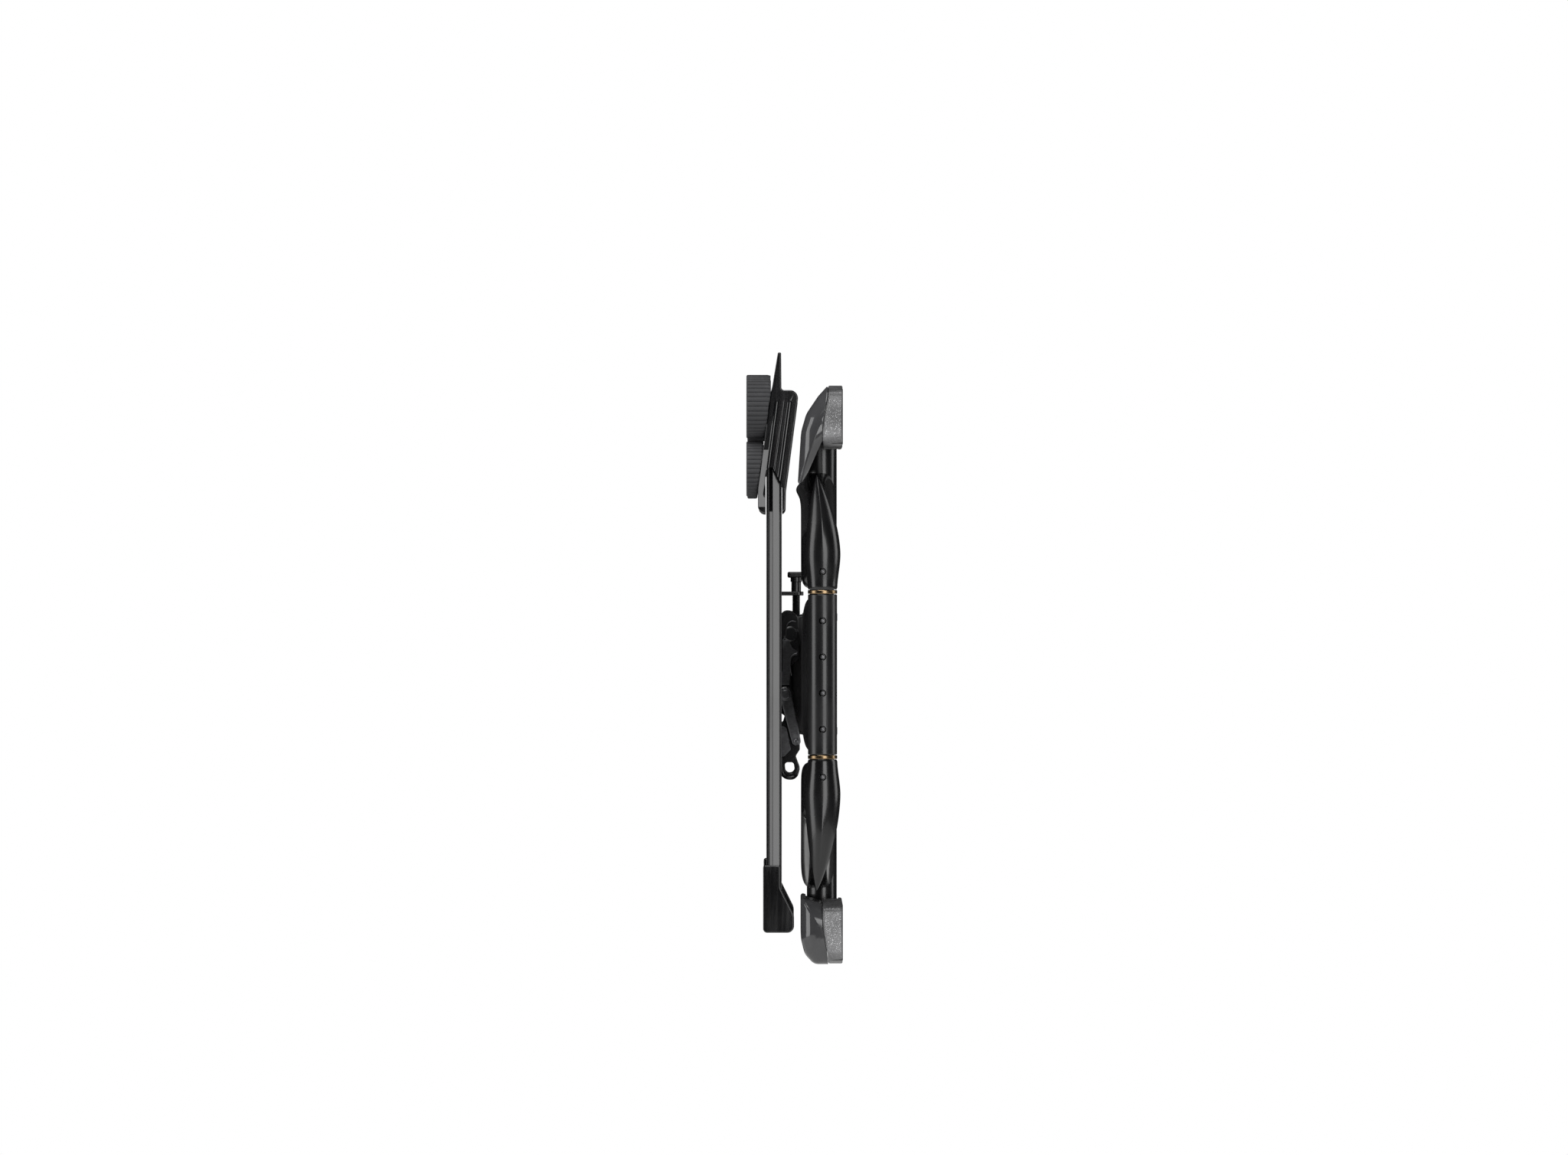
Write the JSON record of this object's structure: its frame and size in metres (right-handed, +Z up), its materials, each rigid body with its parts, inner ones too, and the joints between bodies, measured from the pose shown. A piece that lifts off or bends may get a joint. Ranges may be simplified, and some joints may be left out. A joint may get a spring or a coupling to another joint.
{
  "type": "full motion television wall mount",
  "caption": "Slim folding television wall mount: sculpted twin-limb arm, barrel elbow with bronze rings, tilting and levelling head, upright rails with leaning brackets and ribbed spacers.",
  "frame": {"origin": "middle of the mount on the wall face", "axes": "+X along the wall towards the elbow, +Y into the wall, +Z up"},
  "size_m": [0.4818, 0.0713, 0.4522],
  "materials": {
    "cast_gloss_black": "die-cast aluminium under gloss black powder coat",
    "cast_satin_black": "die-cast aluminium under satin black coat",
    "steel_gloss_black": "pressed steel, gloss black powder coat",
    "steel_satin_black": "folded steel, satin black coat",
    "cover_gloss_plastic": "polished black plastic",
    "collar_satin_plastic": "fine sparkle satin black plastic",
    "dark_steel": "black oxide steel",
    "bronze": "brushed bronze",
    "white_nylon": "natural nylon",
    "charcoal_plastic": "matte charcoal, moulded ribs"
  },
  "bodies": {
    "wall_side": {"wall_rail_top": "steel_satin_black", "wall_rail_bottom": "steel_satin_black", "cover_collar_top": "collar_satin_plastic", "cover_collar_bottom": "collar_satin_plastic", "cover_shell_top": "cover_gloss_plastic", "cover_shell_bottom": "cover_gloss_plastic", "hinge_bracket_top": "dark_steel", "hinge_bracket_bottom": "dark_steel", "shoulder_pin_top": "dark_steel", "shoulder_pin_bottom": "dark_steel", "hinge_column": "steel_satin_black"},
    "upper_arm": {"arm_limb_top": "cast_gloss_black", "arm_limb_bottom": "cast_gloss_black", "spine_tube": "steel_satin_black", "elbow_pin": "dark_steel", "elbow_ring_top": "bronze", "elbow_ring_bottom": "bronze", "knuckle_screw_top": "dark_steel", "knuckle_screw_bottom": "dark_steel"},
    "lower_arm": {"forearm": "cast_gloss_black", "barrel_screw_1": "dark_steel", "barrel_screw_2": "dark_steel", "barrel_screw_3": "dark_steel", "barrel_screw_4": "dark_steel", "elbow_bush_top": "white_nylon", "elbow_bush_bottom": "white_nylon"},
    "head": {"head_yoke": "cast_satin_black", "pan_pin": "dark_steel", "pivot_pin": "dark_steel", "pan_washer_top": "white_nylon", "pan_washer_bottom": "white_nylon"},
    "carrier": {"carrier_plate": "steel_satin_black", "level_bridge": "steel_satin_black", "tilt_cheek_left": "steel_satin_black", "tilt_cheek_right": "steel_satin_black", "tilt_arm_left": "dark_steel", "tilt_arm_right": "dark_steel"},
    "leveller": {"level_screw": "steel_satin_black"},
    "tv_frame": {"roll_plate": "steel_gloss_black", "roll_bolt": "dark_steel", "crossbar_top": "steel_gloss_black", "crossbar_bottom": "steel_gloss_black", "upright_rail_left": "steel_gloss_black", "upright_rail_right": "steel_gloss_black", "horn_bracket_left": "steel_gloss_black", "horn_bracket_right": "steel_gloss_black", "foot_bracket_left": "steel_gloss_black", "foot_bracket_right": "steel_gloss_black", "top_spacer_left": "charcoal_plastic", "top_spacer_right": "charcoal_plastic", "upper_spacer_left": "charcoal_plastic", "upper_spacer_right": "charcoal_plastic", "top_screw_left": "dark_steel", "top_screw_right": "dark_steel", "upper_screw_left": "dark_steel", "upper_screw_right": "dark_steel", "lower_screw_left": "dark_steel", "lower_screw_right": "dark_steel"}
  },
  "joints": [
    {"name": "arm_swing", "type": "hinge", "parent": "wall_side", "child": "upper_arm", "pos_m": [-0.06, -0.0153, 0], "axis": [0, 0, -1], "range_deg": [0, 80]},
    {"name": "elbow_fold", "type": "hinge", "parent": "upper_arm", "child": "lower_arm", "pos_m": [0.245, -0.0153, 0], "axis": [0, 0, -1], "range_deg": [-160, 0]},
    {"name": "head_pan", "type": "hinge", "parent": "lower_arm", "child": "head", "pos_m": [0, -0.0153, 0], "axis": [0, 0, -1], "range_deg": [0, 80]},
    {"name": "tilt", "type": "hinge", "parent": "head", "child": "carrier", "pos_m": [0, -0.0425, -0.015], "axis": [1, 0, 0], "range_deg": [-5, 8]},
    {"name": "level_roll", "type": "hinge", "parent": "carrier", "child": "tv_frame", "pos_m": [0, -0.049, 0], "axis": [0, 1, 0], "range_deg": [-1.8, 1.8]},
    {"name": "level_turn", "type": "hinge", "parent": "carrier", "child": "leveller", "pos_m": [-0.04, -0.0345, 0.06], "axis": [0, 0, 1], "range_deg": [-180, 180]}
  ],
  "couplings": [
    {"joint": "elbow_fold", "follows": "arm_swing", "ratio": -2},
    {"joint": "head_pan", "follows": "arm_swing", "ratio": 1},
    {"joint": "level_turn", "follows": "level_roll", "ratio": 100}
  ]
}
